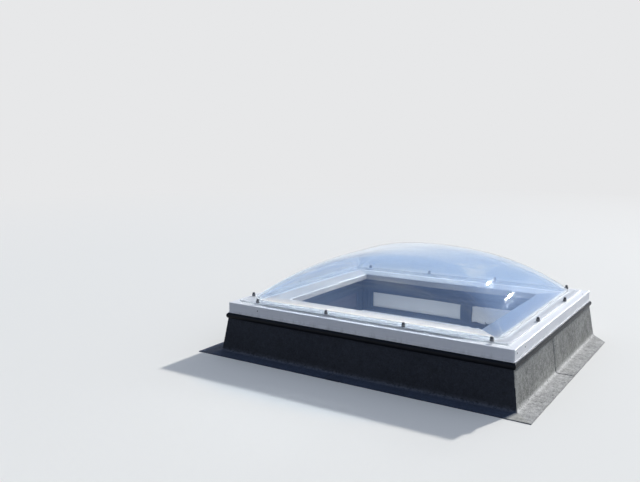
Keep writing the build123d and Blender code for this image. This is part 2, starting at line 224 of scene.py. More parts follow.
def put(tree, kind, sockets=None, output=0, **fields):
    """Adds a node and gives one of its outputs; sockets holds constants or values by input."""
    node = tree.nodes.new(kind)
    for name, value in fields.items():
        setattr(node, name, value)
    for key, value in (sockets or {}).items():
        if isinstance(value, Value):
            tree.links.new(value.socket, node.inputs[key])
        else:
            node.inputs[key].default_value = value
    return Value(tree, node.outputs[output]) if node.outputs else None


def axes_of(vector):
    """The X, Y and Z of a vector."""
    z = put(vector.tree, "ShaderNodeSeparateXYZ", {0: vector}, "Z")
    return [Value(z.tree, socket) for socket in z.socket.node.outputs]


def length_of(vector):
    return put(vector.tree, "ShaderNodeVectorMath", {0: vector}, "Value", operation="LENGTH")


def light_path(tree, output):
    return put(tree, "ShaderNodeLightPath", None, output)


def attribute(tree, name):
    return put(tree, "ShaderNodeAttribute", None, "Fac", attribute_name=name)


def shade(value, strength=1.0):
    """A grey or a colour, scaled, as a socket's value."""
    if isinstance(value, (int, float)):
        value = (value, value, value)
    return tuple(strength * part for part in value[:3]) + (1.0,)


def mixed(share, first, second):
    """A colour between two, each of them a value, a grey or a colour."""
    sockets = {0: share}
    for number, part in ((6, first), (7, second)):
        sockets[number] = part if isinstance(part, Value) else shade(part)
    return put(share.tree, "ShaderNodeMix", sockets, 2, data_type="RGBA")


def either_shader(share, first, second):
    return put(share.tree, "ShaderNodeMixShader", {0: share, 1: first, 2: second})


def grain(place, scale, detail=4.0, rough=0.55):
    sockets = {"Vector": place, "Scale": scale, "Detail": detail, "Roughness": rough}
    return put(place.tree, "ShaderNodeTexNoise", sockets)


def cells(place, scale, output="Distance"):
    return put(place.tree, "ShaderNodeTexVoronoi", {"Vector": place, "Scale": scale}, output)


def band(value, low, high, to_low=0.0, to_high=1.0):
    """Maps low..high to to_low..to_high and clamps."""
    sockets = {"Value": value, "From Min": low, "From Max": high, "To Min": to_low, "To Max": to_high}
    return put(value.tree, "ShaderNodeMapRange", sockets)


def relief(height, distance, strength, under=None):
    sockets = {"Height": height, "Distance": distance, "Strength": strength}
    if under is not None:
        sockets["Normal"] = under
    return put(height.tree, "ShaderNodeBump", sockets)


class Finish:
    """A material under construction."""

    def __init__(self, name):
        self.material = bpy.data.materials.new(name)
        self.material.use_nodes = True
        self.tree = self.material.node_tree
        self.tree.nodes.clear()

    def place(self, *stretch):
        place = put(self.tree, "ShaderNodeTexCoord", None, "Object")
        return put(self.tree, "ShaderNodeMapping", {"Vector": place, "Scale": stretch}) if stretch else place

    def shader(self, colour, roughness, normal=None, **constants):
        sockets = {"Base Color": colour, "Roughness": roughness}
        if normal is not None:
            sockets["Normal"] = normal
        for name, value in constants.items():
            sockets[name.replace("_", " ")] = value
        return put(self.tree, "ShaderNodeBsdfPrincipled", sockets)

    def closed(self, shader):
        put(self.tree, "ShaderNodeOutputMaterial", {"Surface": shader})
        return self.material

    def painted(self, colour, roughness, normal, **constants):
        return self.closed(self.shader(colour, roughness, normal, **constants))


# Finishes
def frame_finish(half_length, half_width):
    """White powder coat with welded mitres, light grime and a film of dust."""
    clean, dusty = (0.86, 0.87, 0.885), (0.81, 0.825, 0.85)
    grimy, weld_line = (0.42, 0.43, 0.42), (0.35, 0.37, 0.40)
    weld_core, weld_edge = 0.0005, 0.0016
    grime_starts, grime_full = FRAME_TOP - 0.035, FRAME_TOP - 0.068
    finish = Finish("frame_white")
    place = finish.place()
    x, y, z = axes_of(place)
    from_end, from_side = half_length - abs(x), half_width - abs(y)
    weld = band(abs(from_end - from_side), weld_core, weld_edge, 1.0, 0.0)
    cloudy = grain(place, 5.0, 5.0, 0.6)
    streaks = grain(finish.place(38, 38, 2.2), 1.0, 3.0)
    grime = band(streaks, 0.50, 0.72) * band(z, grime_starts, grime_full)
    white = mixed(band(cloudy, 0.35, 0.7), clean, dusty)
    white = mixed(grime * 0.5, white, grimy)
    white = mixed(weld * 0.45, white, weld_line)
    rough = band(cloudy, 0.3, 0.75, 0.27, 0.42)
    tooth = grain(place, 900.0, 2.0)
    return finish.painted(white, rough, relief(tooth - weld * 3.0, 0.00006, 0.6))


def trim_finish():
    """Black extruded nose with draw lines and patches of dust."""
    black, dusty = (0.007, 0.008, 0.011), (0.020, 0.022, 0.026)
    finish = Finish("trim_black")
    dust = band(grain(finish.place(), 14.0, 6.0, 0.65), 0.52, 0.78)
    rough = band(dust, 0.0, 1.0, 0.30, 0.45)
    lines = grain(finish.place(3, 3, 900), 1.0, 2.0)
    normal = relief(lines, 0.00012, 0.5)
    return finish.painted(mixed(dust * 0.4, black, dusty), rough, normal, Specular_IOR_Level=0.10)


def paint_finish(name, stretch, bright, dull):
    """Brushed gloss paint on a board, with its brush marks along the board."""
    finish = Finish(name)
    marks = grain(finish.place(*stretch), 1.0, 4.0)
    cloudy = grain(finish.place(), 3.5, 5.0, 0.6)
    colour = mixed(band(cloudy, 0.35, 0.7), bright, dull)
    return finish.painted(colour, band(marks, 0.3, 0.7, 0.31, 0.47), relief(marks, 0.0002, 0.4))


def timber_finish(name, stretch):
    """Dark stain on softwood, its grain along the member; its slate blue is partly painted shade and painted
    sky reflection.
    """
    # Slate blue tones: partly a dark stain, partly painted shade and painted reflection of the blue sky
    early, late, pores = (0.072, 0.100, 0.155), (0.130, 0.165, 0.230), (0.040, 0.058, 0.095)
    finer = [7 * part for part in stretch]
    finish = Finish(name)
    rings = grain(finish.place(*stretch), 1.0, 5.0, 0.6)
    fine = grain(finish.place(*finer), 1.0, 3.0)
    colour = mixed(band(rings, 0.38, 0.64), early, late)
    colour = mixed(band(fine, 0.55, 0.75, 0.0, 0.5), colour, pores)
    rough = band(rings, 0.3, 0.7, 0.42, 0.60)
    return finish.painted(colour, rough, relief(rings + fine * 0.4, 0.0008, 0.5))


def sheathing_finish():
    """Construction plywood: broad face grain and a few knots."""
    dark, pale, knot = (0.52, 0.37, 0.22), (0.66, 0.51, 0.33), (0.22, 0.12, 0.06)
    finish = Finish("sheathing_board")
    face = grain(finish.place(4, 4, 70), 1.0, 5.0, 0.6)
    knots = cells(finish.place(1, 1, 2.6), 3.2)
    colour = mixed(band(face, 0.35, 0.68), dark, pale)
    colour = mixed(band(knots, 0.05, 0.0, 0.0, 0.8), colour, knot)
    return finish.painted(colour, 0.75, relief(face, 0.0006, 0.6))


def panel_finish(name, bright, dull, scuffed):
    """Faced infill board: faint level bands, a fine tooth and a few scuffs."""
    finish = Finish(name)
    bands = grain(finish.place(0.7, 0.7, 26), 1.0, 3.0, 0.5)
    tooth = grain(finish.place(), 420.0, 2.0)
    scuffs = band(grain(finish.place(3, 3, 11), 2.4, 6.0, 0.7), 0.60, 0.72)
    colour = mixed(band(bands, 0.32, 0.68), bright, dull)
    return finish.painted(mixed(scuffs * 0.35, colour, scuffed), 0.62, relief(tooth, 0.0002, 0.5))


def tape_finish():
    """Pale grey glazing tape, a little shiny where the sheet wets it."""
    grey, pale = (0.70, 0.71, 0.76), (0.78, 0.79, 0.83)
    finish = Finish("tape_pale")
    wet = grain(finish.place(), 40.0, 4.0, 0.6)
    colour = mixed(band(wet, 0.35, 0.7), grey, pale)
    return finish.painted(colour, band(wet, 0.3, 0.7, 0.3, 0.5), relief(wet, 0.0002, 0.4))


def rubber_finish():
    """Black sealing rubber with a matt, dusty skin."""
    black, dusty = 0.018, 0.045
    finish = Finish("seal_rubber")
    dust = band(grain(finish.place(), 30.0, 5.0, 0.65), 0.45, 0.75)
    tooth = grain(finish.place(), 1200.0, 2.0)
    return finish.painted(mixed(dust, black, dusty), 0.68, relief(tooth, 0.0001, 0.6))


def steel_finish():
    """Stainless steel with fine turning marks."""
    dull, bright = 0.50, 0.62
    finish = Finish("screw_steel")
    marks = grain(finish.place(300, 300, 4000), 1.0, 3.0)
    colour = mixed(band(marks, 0.3, 0.7), dull, bright)
    rough = band(marks, 0.3, 0.7, 0.26, 0.42)
    return finish.painted(colour, rough, relief(marks, 0.00002, 0.5), Metallic=1.0)


def dark_screw_finish():
    """Zinc gone dull and dark in the open."""
    dark, worn = 0.055, (0.16, 0.155, 0.15)
    finish = Finish("screw_dull")
    spots = grain(finish.place(), 700.0, 4.0)
    colour = mixed(band(spots, 0.4, 0.65), dark, worn)
    return finish.painted(colour, 0.5, relief(spots, 0.0001, 0.5), Metallic=0.6)


def cap_finish(colour):
    """Moulded dark grey cap with a fine spark texture and a chalky bloom."""
    finish = Finish("cap_dark")
    chalk = band(grain(finish.place(), 160.0, 5.0, 0.65), 0.48, 0.75)
    base = mixed(chalk, colour, shade(colour, 1.9))
    sparks = grain(finish.place(), 2500.0)
    return finish.painted(base, band(chalk, 0.0, 1.0, 0.30, 0.50), relief(sparks, 0.0001, 0.5))


def cup_finish(colour):
    """Milky ring with a wet gloss."""
    finish = Finish("cup_pale")
    milk = grain(finish.place(), 220.0, 4.0)
    base = mixed(band(milk, 0.35, 0.7), colour, shade(colour, 0.86))
    rough = band(milk, 0.3, 0.7, 0.16, 0.30)
    return finish.painted(base, rough, relief(milk, 0.0001, 0.3), Coat_Weight=0.3)


def outline_distance(place, half, corner):
    """How far a place lies outside a rounded rectangle; inside it is negative."""
    past = [(abs(axis) - (reach - corner)).larger(0.0) for axis, reach in zip(axes_of(place), half[:2])]
    away = put(place.tree, "ShaderNodeCombineXYZ", dict(enumerate(past)))
    return length_of(away) - corner


def dome_finish(name, tint, haze, half, corner, spring):
    """Clear blown sheet: its crown tinted, its flange under a milky film, its rim saw-cut and frosted."""
    sawn_dark, sawn_pale = (0.72, 0.76, 0.80), (0.84, 0.87, 0.90)
    flange_tint = [part**0.25 for part in tint]
    tint_full = spring + 0.030
    film_starts, film_full, film_cover = spring - 0.005, spring - 0.009, 0.38
    rim_starts, rim_full = -0.0016, -0.0010
    finish = Finish(name)
    place = finish.place()
    height = axes_of(place)[2]
    rough = band(grain(finish.place(1, 1, 2.5), 3.0, 5.0, 0.62), 0.42, 0.80, 0.0, haze)
    ripple = relief(grain(place, 3.2, 1.0, 0.4), 0.0018, 0.2)
    body = mixed(band(height, spring, tint_full), flange_tint, tint)
    clear = finish.shader(body, rough, ripple, Transmission_Weight=1.0, IOR=1.49)
    cuts = grain(finish.place(1, 1, 20), 90.0, 3.0)
    sawn = mixed(band(cuts, 0.35, 0.65), sawn_dark, sawn_pale)
    frosted = finish.shader(sawn, 0.55, relief(cuts, 0.0002, 0.4))
    rim = band(outline_distance(place, half, corner), rim_starts, rim_full)
    film = band(height, film_starts, film_full, 0.0, film_cover)
    sheet = either_shader(rim.larger(film), clear, frosted)
    let_through = put(finish.tree, "ShaderNodeBsdfTransparent", {"Color": shade(flange_tint)})
    return finish.closed(either_shader(light_path(finish.tree, "Is Shadow Ray"), sheet, let_through))


def felt_finish(name, face, foot, bare, contrast):
    """Mineral felt: packed granules, mottled worn patches, a foot of its own tone, a ragged bare line at the
    fold, darker near the foot's edge and a patch of painted sunlight; in the copy for the front and left the
    tones are painted shade.
    """
    granule, foot_ends, face_starts = 380.0, 0.005, 0.016
    moss_tone = (0.62 * face[0], 0.66 * face[1], 0.52 * face[2])
    finish = Finish(name)
    tree, place = finish.tree, finish.place()
    stone = put(tree, "ShaderNodeSeparateColor", {0: cells(place, granule, "Color")})
    speckle = grain(place, 110.0, 3.0, 0.7)
    mottle = grain(place, 34.0, 5.0, 0.7)
    patches = grain(place, 4.0, 4.0, 0.6)
    level = 1.0
    for part, weight in ((stone, 0.9), (speckle, 2.0), (mottle, 2.4), (patches, 1.4)):
        level = part * (weight * contrast) - 0.5 * weight * contrast + level
    tone = mixed(band(axes_of(place)[2], foot_ends, face_starts), foot, face)
    # Painted sunlight: where marked, the front foot turns to the lit tone made brighter, past the kerb's
    # shadow line
    tone = mixed(attribute(tree, "sunned"), tone, shade(settings("felt").lit_side_tone, 1.35))
    colour = put(tree, "ShaderNodeVectorMath", {0: tone, "Scale": level}, operation="SCALE")
    moss = band(grain(place, 19.0, 5.0, 0.7), 0.54, 0.66, 0.0, 0.30)
    colour = mixed(moss, colour, moss_tone)
    rag = band(grain(place, 70.0, 5.0, 0.75), 0.40, 0.54)
    colour = mixed(attribute(tree, "fold_near") * rag, colour, bare)
    # Darker near the foot's outer edge
    colour = mixed(attribute(tree, "edge_near") * 0.65, colour, shade(foot, 0.45))
    height = cells(place, granule) * 0.5 + speckle * 0.9
    normal = relief(height, 0.0014, 0.8, relief(mottle, 0.003, 0.2))
    return finish.painted(colour, 0.9, normal, Specular_IOR_Level=0.25)


def bitumen_finish():
    """Black bitumen squeezed out of a lap."""
    black, dusty = 0.022, 0.11
    finish = Finish("bitumen_bead")
    lumps = grain(finish.place(), 90.0, 4.0)
    return finish.painted(mixed(band(lumps, 0.40, 0.62), black, dusty), 0.42, relief(lumps, 0.001, 0.5))


# Meshes
def rounded_outline(half_x, half_y, corner, ends=(26, 22, 10)):
    """Points round a rounded rectangle, with as many points for every size."""
    along_x, along_y, round_steps = ends
    x, y = half_x - corner, half_y - corner
    centres = ((x, y), (-x, y), (-x, -y), (x, -y))
    points = []
    for turn, centre in enumerate(centres):

        def on_corner(middle, angle):
            return middle[0] + corner * cos(angle), middle[1] + corner * sin(angle)

        first, last = turn * pi / 2, turn * pi / 2 + pi / 2
        for step in range(round_steps):
            points.append(on_corner(centre, first + pi / 2 * step / round_steps))
        start, end = on_corner(centre, last), on_corner(centres[(turn + 1) % 4], last)
        steps = along_y if turn % 2 else along_x
        for step in range(steps):
            share = step / steps
            points.append((start[0] + share * (end[0] - start[0]), start[1] + share * (end[1] - start[1])))
    return points


def loft(name, rows, attributes=None):
    """A mesh through rings of points; a ring of one point closes as a pole."""
    vertices, starts = [], []
    for row in rows:
        starts.append(len(vertices))
        vertices.extend(tuple(point) for point in row)
    faces = []
    for number in range(len(rows) - 1):
        here, there = starts[number], starts[number + 1]
        whole_here, whole_there = len(rows[number]) > 1, len(rows[number + 1]) > 1
        count = max(len(rows[number]), len(rows[number + 1]))
        for k in range(count):
            following = (k + 1) % count
            corners = [here + (k if whole_here else 0), there + (k if whole_there else 0)]
            if whole_there:
                corners.append(there + following)
            if whole_here:
                corners.append(here + following)
            faces.append(corners)
    mesh = bpy.data.meshes.new(name)
    mesh.from_pydata(vertices, [], faces)
    for key, values in (attributes or {}).items():
        point_values(mesh, key, [value for row, value in zip(rows, values) for _ in row])
    mesh.validate()
    return mesh


def point_values(mesh, key, values):
    """Keeps a number for each vertex under a name."""
    mesh.attributes.new(key, "FLOAT", "POINT").data.foreach_set("value", values)


def outward(mesh):
    """Points every face of a closed mesh outwards."""
    work = bmesh.new()
    work.from_mesh(mesh)
    bmesh.ops.recalc_face_normals(work, faces=work.faces)
    work.to_mesh(mesh)
    work.free()
    return mesh


def smooth(mesh, angle):
    """Smooth shading with the edges sharper than an angle kept."""
    mesh.shade_smooth()
    mesh.set_sharp_from_angle(angle=radians(angle))
    return mesh


def place_object(name, data):
    thing = bpy.data.objects.new(name, data)
    bpy.context.scene.collection.objects.link(thing)
    return thing


def evaluated_mesh(thing, name):
    """The result of an object's modifiers as a plain mesh; the object then goes."""
    bpy.context.view_layer.update()
    graph = bpy.context.evaluated_depsgraph_get()
    mesh = bpy.data.meshes.new_from_object(thing.evaluated_get(graph))
    mesh.name = name
    thing.modifiers.clear()
    bpy.data.objects.remove(thing)
    return mesh


def finished(name, mesh, material, slot, *nodes):
    """A finished piece on the body, with its finish and the nodes that it stands for."""
    if not mesh.polygons:
        raise RuntimeError(f"{name} has no faces")
    if not mesh.materials:
        mesh.materials.append(material)
    piece = place_object(name, mesh)
    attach(piece, BODY)
    if nodes:
        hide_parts(*nodes)
    return piece


def turned(name, outline, segments):
    """A turned mesh from its half section, radius and height, listed from one end to the other."""
    turns = [2 * pi * k / segments for k in range(segments)]
    rows = []
    for radius, height in outline:
        if radius == 0:
            rows.append([(0.0, 0.0, height)])
        else:
            rows.append([(radius * cos(turn), radius * sin(turn), height) for turn in turns])
    return smooth(outward(loft(name, rows)), 40)


# Geometry node trees
def new_tree(name, *labels, **kinds):
    """A tree with an input for each number, other kinds by name, and a material; gives it and its inputs."""
    tree = bpy.data.node_groups.new(name, "GeometryNodeTree")
    tree.is_modifier = True
    wanted = {"Geometry": "Geometry", **dict.fromkeys(labels, "Float"), **kinds, "Material": "Material"}
    for label, kind in wanted.items():
        tree.interface.new_socket(label, in_out="INPUT", socket_type="NodeSocket" + kind)
    tree.interface.new_socket("Geometry", in_out="OUTPUT", socket_type="NodeSocketGeometry")
    given = tree.nodes.new("NodeGroupInput").outputs
    return tree, {label: Value(tree, given[label]) for label in wanted}


def end_tree(tree, geometry, given):
    real = put(tree, "GeometryNodeRealizeInstances", {0: geometry})
    painted = put(tree, "GeometryNodeSetMaterial", {"Geometry": real, "Material": given["Material"]})
    put(tree, "NodeGroupOutput", {0: painted})
    return tree


def run_tree(tree, base, name, **values):
    """Runs a tree on an object's mesh with named values; gives the plain mesh and removes the object."""
    modifier = base.modifiers.new(tree.name, "NODES")
    modifier.node_group = tree
    identifiers = {s.name: s.identifier for s in tree.interface.items_tree if s.in_out == "INPUT"}
    for label, value in values.items():
        modifier[identifiers[label.replace("_", " ")]] = value
    return evaluated_mesh(base, name)


def stored(tree, key, kind="FLOAT"):
    """What a mesh keeps for each of its points under a name."""
    return put(tree, "GeometryNodeInputNamedAttribute", {"Name": key}, data_type=kind)


def crown_tree():
    """Lifts a flat pattern into the blown crown: an arch each way, joined by soft ridges."""
    labels = ("Spring", "Rise", "Reach X", "Reach Y", "Wall", "Long Arch", "Short Arch", "Ridge", "Ease")
    tree, given = new_tree("Blown Crown", *labels)
    x, y, z = axes_of(put(tree, "GeometryNodeInputPosition"))
    wall = given["Wall"] * stored(tree, "inner_face")
    ease, power, root = given["Ease"], given["Ridge"] * -1.0, -1.0 / given["Ridge"]

    def eased_arch(axis, reach, arch):
        return (1.0 - (abs(axis) / (reach - wall)) ** arch + ease) ** power

    def joined(total):
        return total**root - ease

    long_arch = eased_arch(x, given["Reach X"], given["Long Arch"])
    short_arch = eased_arch(y, given["Reach Y"], given["Short Arch"])
    middle = joined((1.0 + ease) ** power * 2.0)
    height = (given["Rise"] - wall) * joined(long_arch + short_arch) / middle + given["Spring"]
    lift = (height - z) * stored(tree, "crown_share")
    move = put(tree, "ShaderNodeCombineXYZ", {2: lift})
    raised = put(tree, "GeometryNodeSetPosition", {"Geometry": given["Geometry"], "Offset": move})
    return end_tree(tree, raised, given)


def fastener_tree():
    """Sets a fastener on each point, facing along the point's own direction, with a seeded turn."""
    tree, given = new_tree("Set Fasteners", "Most Turn", "Most Lean", Fastener="Object", Seed="Int")
    facing = stored(tree, "facing", "FLOAT_VECTOR")
    straight = put(tree, "FunctionNodeAlignRotationToVector", {"Vector": facing}, axis="Z")

    def spread(most, offset):
        """A random number up to a value either way."""
        node = tree.nodes.new("FunctionNodeRandomValue")
        node.data_type = "FLOAT"
        for key, value in (("Min", most * -1.0), ("Max", most), ("Seed", given["Seed"] + offset)):
            tree.links.new(value.socket, next(s for s in node.inputs if s.name == key and s.enabled))
        return Value(tree, next(s for s in node.outputs if s.enabled))

    most_each = ("Most Lean", "Most Lean", "Most Turn")
    turns = {axis: spread(given[most], axis + 1) for axis, most in enumerate(most_each)}
    turn = put(tree, "FunctionNodeEulerToRotation", {0: put(tree, "ShaderNodeCombineXYZ", turns)})
    sockets = {"Rotation": straight, "Rotate By": turn}
    rotation = put(tree, "FunctionNodeRotateRotation", sockets, rotation_space="LOCAL")
    shape = put(tree, "GeometryNodeObjectInfo", {"Object": given["Fastener"]}, "Geometry")
    sockets = {"Points": given["Geometry"], "Instance": shape, "Rotation": rotation}
    return end_tree(tree, put(tree, "GeometryNodeInstanceOnPoints", sockets), given)


def bead_tree():
    """A bead of uneven thickness along a line."""
    tree, given = new_tree("Squeezed Bead", "Thickness", "Unevenness", "Lump Size", "Step")
    line = put(tree, "GeometryNodeMeshToCurve", {0: given["Geometry"]})
    line = put(tree, "GeometryNodeResampleCurve", {"Curve": line, "Length": given["Step"]}, mode="LENGTH")
    lumps = put(tree, "ShaderNodeTexNoise", {"Scale": given["Lump Size"], "Detail": 3.0})
    size = (lumps - 0.5) * given["Unevenness"] * 2.0 + 1.0
    ring = put(tree, "GeometryNodeCurvePrimitiveCircle", {"Resolution": 8, "Radius": given["Thickness"]})
    sockets = {"Curve": line, "Profile Curve": ring, "Scale": size, "Fill Caps": True}
    return end_tree(tree, put(tree, "GeometryNodeCurveToMesh", sockets), given)


# Dome skins
CROWN_ROWS = 46
CROWN_CROWDING = 1.3
FOOT_ROUND_STEPS = 5
RIM_EASE = 0.0008
DRILL_REACH = 0.01


def skin_pattern(name, half, base, wall, edge_corner, inset, corner, foot_round, spring):
    """The flat pattern of a skin, outer face first, with what the crown tree needs to lift it.

    Gives the mesh, the row of each brim with the way to its crown, and the crown's reach."""
    rows, shares, faces = [], [], []

    def row(half_x, half_y, radius, z, share=0.0, inner=0.0):
        rows.append([(x, y, z) for x, y in rounded_outline(half_x, half_y, radius)])
        shares.append(share)
        faces.append(inner)

    def pole(inner):
        rows.append([(0.0, 0.0, spring)])
        shares.append(1.0)
        faces.append(inner)

    reach_x, reach_y = half[0] - inset, half[1] - inset
    spans = [1 - (count / CROWN_ROWS) ** CROWN_CROWDING for count in range(CROWN_ROWS)]
    top = base + wall
    pole(0.0)
    for span in reversed(spans):
        row(reach_x * span, reach_y * span, corner * span, spring, 1.0)
    outer_brim = len(rows) - 1
    riser_foot = top + foot_round
    row(reach_x, reach_y, corner, riser_foot, 0.5)
    row(reach_x, reach_y, corner, riser_foot)
    for step in range(1, FOOT_ROUND_STEPS + 1):
        turn = pi / 2 * step / FOOT_ROUND_STEPS
        out = foot_round * (1 - cos(turn))
        row(reach_x + out, reach_y + out, corner + out, riser_foot - foot_round * sin(turn))
    for share in (0.35, 0.7, 1.0):
        out = foot_round + share * (inset - foot_round - RIM_EASE)
        radius = corner + foot_round + share * (edge_corner - RIM_EASE - corner - foot_round)
        row(reach_x + out, reach_y + out, radius, top)
    row(half[0], half[1], edge_corner, top - RIM_EASE)
    row(half[0], half[1], edge_corner, base + RIM_EASE)
    row(half[0] - RIM_EASE, half[1] - RIM_EASE, edge_corner - RIM_EASE, base)
    row(reach_x + foot_round, reach_y + foot_round, corner + foot_round, base)
    inner_x, inner_y, inner_corner = reach_x - wall, reach_y - wall, corner - wall
    row(inner_x, inner_y, inner_corner, base)
    row(inner_x, inner_y, inner_corner, base, 0.5, 1.0)
    inner_brim = len(rows)
    for span in spans:
        row(inner_x * span, inner_y * span, inner_corner * span, spring, 1.0, 1.0)
    pole(1.0)
    mesh = loft(name, rows, {"crown_share": shares, "inner_face": faces})
    return mesh, ((outer_brim, -1), (inner_brim, 1)), (reach_x, reach_y)


def soften_brim(mesh, row, crownward, reach):
    """Bends the rows next to the crown's foot along a soft curve instead of a hard edge."""
    count = len(rounded_outline(1, 1, 0.1))

    def place(number, k):
        return mesh.vertices[1 + (number - 1) * count + k].co

    for k in range(count):
        edge = place(row, k).copy()
        up = (place(row + crownward, k) - edge).normalized() * reach
        down = (place(row - crownward, k) - edge).normalized() * reach
        place(row, k)[:] = edge + (up + down) / 4
        place(row + crownward, k)[:] = edge + up
        place(row - crownward, k)[:] = edge + down


def drilled(mesh, name, places, diameter, low, high):
    """Cuts a round hole through a flange at each place."""
    size = {"radius1": diameter / 2, "radius2": diameter / 2, "depth": high - low}
    cutter = bmesh.new()
    for x, y in places:
        made = bmesh.ops.create_cone(cutter, cap_ends=True, segments=24, **size)
        bmesh.ops.translate(cutter, verts=made["verts"], vec=(x, y, (low + high) / 2))
    drills = bpy.data.meshes.new("drills")
    cutter.to_mesh(drills)
    cutter.free()
    drill_object, blank = place_object("drills", drills), place_object("blank", mesh)
    modifier = blank.modifiers.new("holes", "BOOLEAN")
    modifier.operation = "DIFFERENCE"
    modifier.solver = "EXACT"
    modifier.object = drill_object
    cut = evaluated_mesh(blank, name)
    bpy.data.objects.remove(drill_object)
    return cut


class ROOFLIGHT_OT_dome(bpy.types.Operator):
    """Builds the two blown skins over the frame"""

    bl_idname = "rooflight.dome"
    bl_label = "Dome Skins"

    def execute(self, context):
        dome = settings("dome")
        tree = crown_tree()
        screws = [seat[:2] for seat in upright_seats("screw_caps", CAP_REACH)]
        wanted = ("wall", "haze", "flange_corner", "riser_inset", "riser_corner", "riser_height")
        for which in ("outer", "inner"):
            sizes = [getattr(dome, f"{which}_{size}") for size in wanted]
            self.skin(tree, dome, "dome_" + which, screws, *sizes)
        return {"FINISHED"}

    def skin(self, tree, dome, node, screws, wall, haze, edge_corner, inset, corner, riser):
        low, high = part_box(node)
        spring = low.z + wall + riser
        pattern, brims, reach = skin_pattern(
            node, high, low.z, wall, edge_corner, inset, corner, dome.foot_round, spring
        )
        material = dome_finish(node + "_clear", dome.tint, haze, high, edge_corner, spring)
        mesh = run_tree(
            tree,
            place_object("pattern", pattern),
            node,
            Spring=spring,
            Rise=high.z - spring,
            Reach_X=reach[0],
            Reach_Y=reach[1],
            Wall=wall,
            Long_Arch=dome.arch_long,
            Short_Arch=dome.arch_short,
            Ridge=dome.ridge,
            Ease=dome.ease,
            Material=material,
        )
        for brim, crownward in brims:
            soften_brim(mesh, brim, crownward, dome.brim_round)
        drill_span = (low.z - DRILL_REACH, low.z + wall + DRILL_REACH)
        mesh = drilled(outward(mesh), node, screws, dome.hole, *drill_span)
        finished("clear_" + node, smooth(mesh, 50), material, "dome_clear", node)


# Felt
COLUMN_STEP = 0.012
FOOT_STEPS = 9
FACE_STEPS = 16
FOLD_STEPS = 5
FOOT_EDGE = 0.006
FOOT_EDGE_BEVEL = 0.0014
FOOT_EDGE_SHARES = (0.1, 0.62)
PRESSED_LENGTH = 0.014
PRESSED_SHARE = 0.7
LIFT_TURNS_AT = 8
LIFT_TURN_LENGTH = 0.05
TUCK_START = 0.006
TUCK_LENGTH = 0.020
FOLD_WEAR = 0.016
EDGE_DARKENING_REACH = 0.003
SHADOW_BLUR = 0.012


class Side:
    """A side of the rooflight: out points away from its middle, along runs to the right."""

    def __init__(self, name, out, half, reach):
        self.name = name
        self.out = Vector(out)
        self.along = Vector((0, 0, 1)).cross(self.out)
        self.half = half
        self.reach = reach

    def point(self, s, outset, z):
        return self.along * s + self.out * (self.reach + outset) + Vector((0, 0, z))


def felt_sides():
    """The four sides, measured over the frame's outside faces."""
    half_length, half_width = frame_half()
    return (
        Side("front", (0, -1, 0), half_length, half_width),
        Side("right", (1, 0, 0), half_width, half_length),
        Side("back", (0, 1, 0), half_length, half_width),
        Side("left", (-1, 0, 0), half_width, half_length),
    )


class Section:
    """The felt's section across a side: its fold, outer line and underside, and the run along the line.

    The line goes from the foot's edge to the kerb's head, as outset and height."""

    def __init__(self, felt):
        t = felt.thickness
        self.fold = Vector((felt.base_outset - felt.splay * t, t))
        self.line = self.outer_line(felt, t)
        self.under = [self.below(felt, t, outset, height) for outset, height in self.line]
        self.travel = [0.0]
        for point, following in zip(self.line, self.line[1:]):
            self.travel.append(self.travel[-1] + (following - point).length)

    def outer_line(self, felt, t):
        lean = Vector((-felt.splay, 1.0)).normalized()
        bend = (pi / 2 - felt.splay) / 2
        reach = felt.fold_round * sin(bend) / cos(bend)
        foot_end, face_start = self.fold + Vector((reach, 0)), self.fold + lean * reach
        edge = Vector((felt.foot - FOOT_EDGE_BEVEL, t))
        line = [*(Vector((felt.foot, t * share)) for share in FOOT_EDGE_SHARES), edge]
        for step in range(1, FOOT_STEPS + 1):
            line.append(edge.lerp(foot_end, step / FOOT_STEPS))
        for step in range(1, FOLD_STEPS):
            share = step / FOLD_STEPS
            line.append(foot_end.lerp(self.fold, share).lerp(self.fold.lerp(face_start, share), share))
        head = Vector((felt.base_outset - felt.splay * FELT_TOP, FELT_TOP))
        for step in range(FACE_STEPS + 1):
            line.append(face_start.lerp(head, step / FACE_STEPS))
        return line

    def below(self, felt, t, outset, height):
        """The underside's point for a point of the outer line."""
        if outset > self.fold.x + felt.fold_round:
            return Vector((outset, 0.0))
        if height < t + felt.fold_round * 0.5:
            inside, behind = Vector((self.fold.x - t * 0.4, 0.0)), Vector((self.fold.x - t, 0.002))
            return inside.lerp(behind, height / (t + felt.fold_round))
        return Vector((felt.base_outset - felt.splay * height - t, height))


def felt_unevenness(side, s, travel, seed):
    """How far the felt stands off its line: broad waves, small puckers, none at the head."""
    per_metre_along, per_metre_up, finer = 3.1, 5.0, 5.3
    broad_height, fine_height = 0.0012, 0.0005
    calm_from, calm_length = 0.34, 0.06
    own_place = seed + 13.0 * side.reach + 5.0 * side.out.x + 3.0 * side.out.y
    sample = Vector((s * per_metre_along, travel * per_metre_up, own_place))
    broad, fine = field.noise(sample), field.noise(sample * finer)
    return clamped((calm_from - travel) / calm_length) * (broad_height * broad + fine_height * fine)


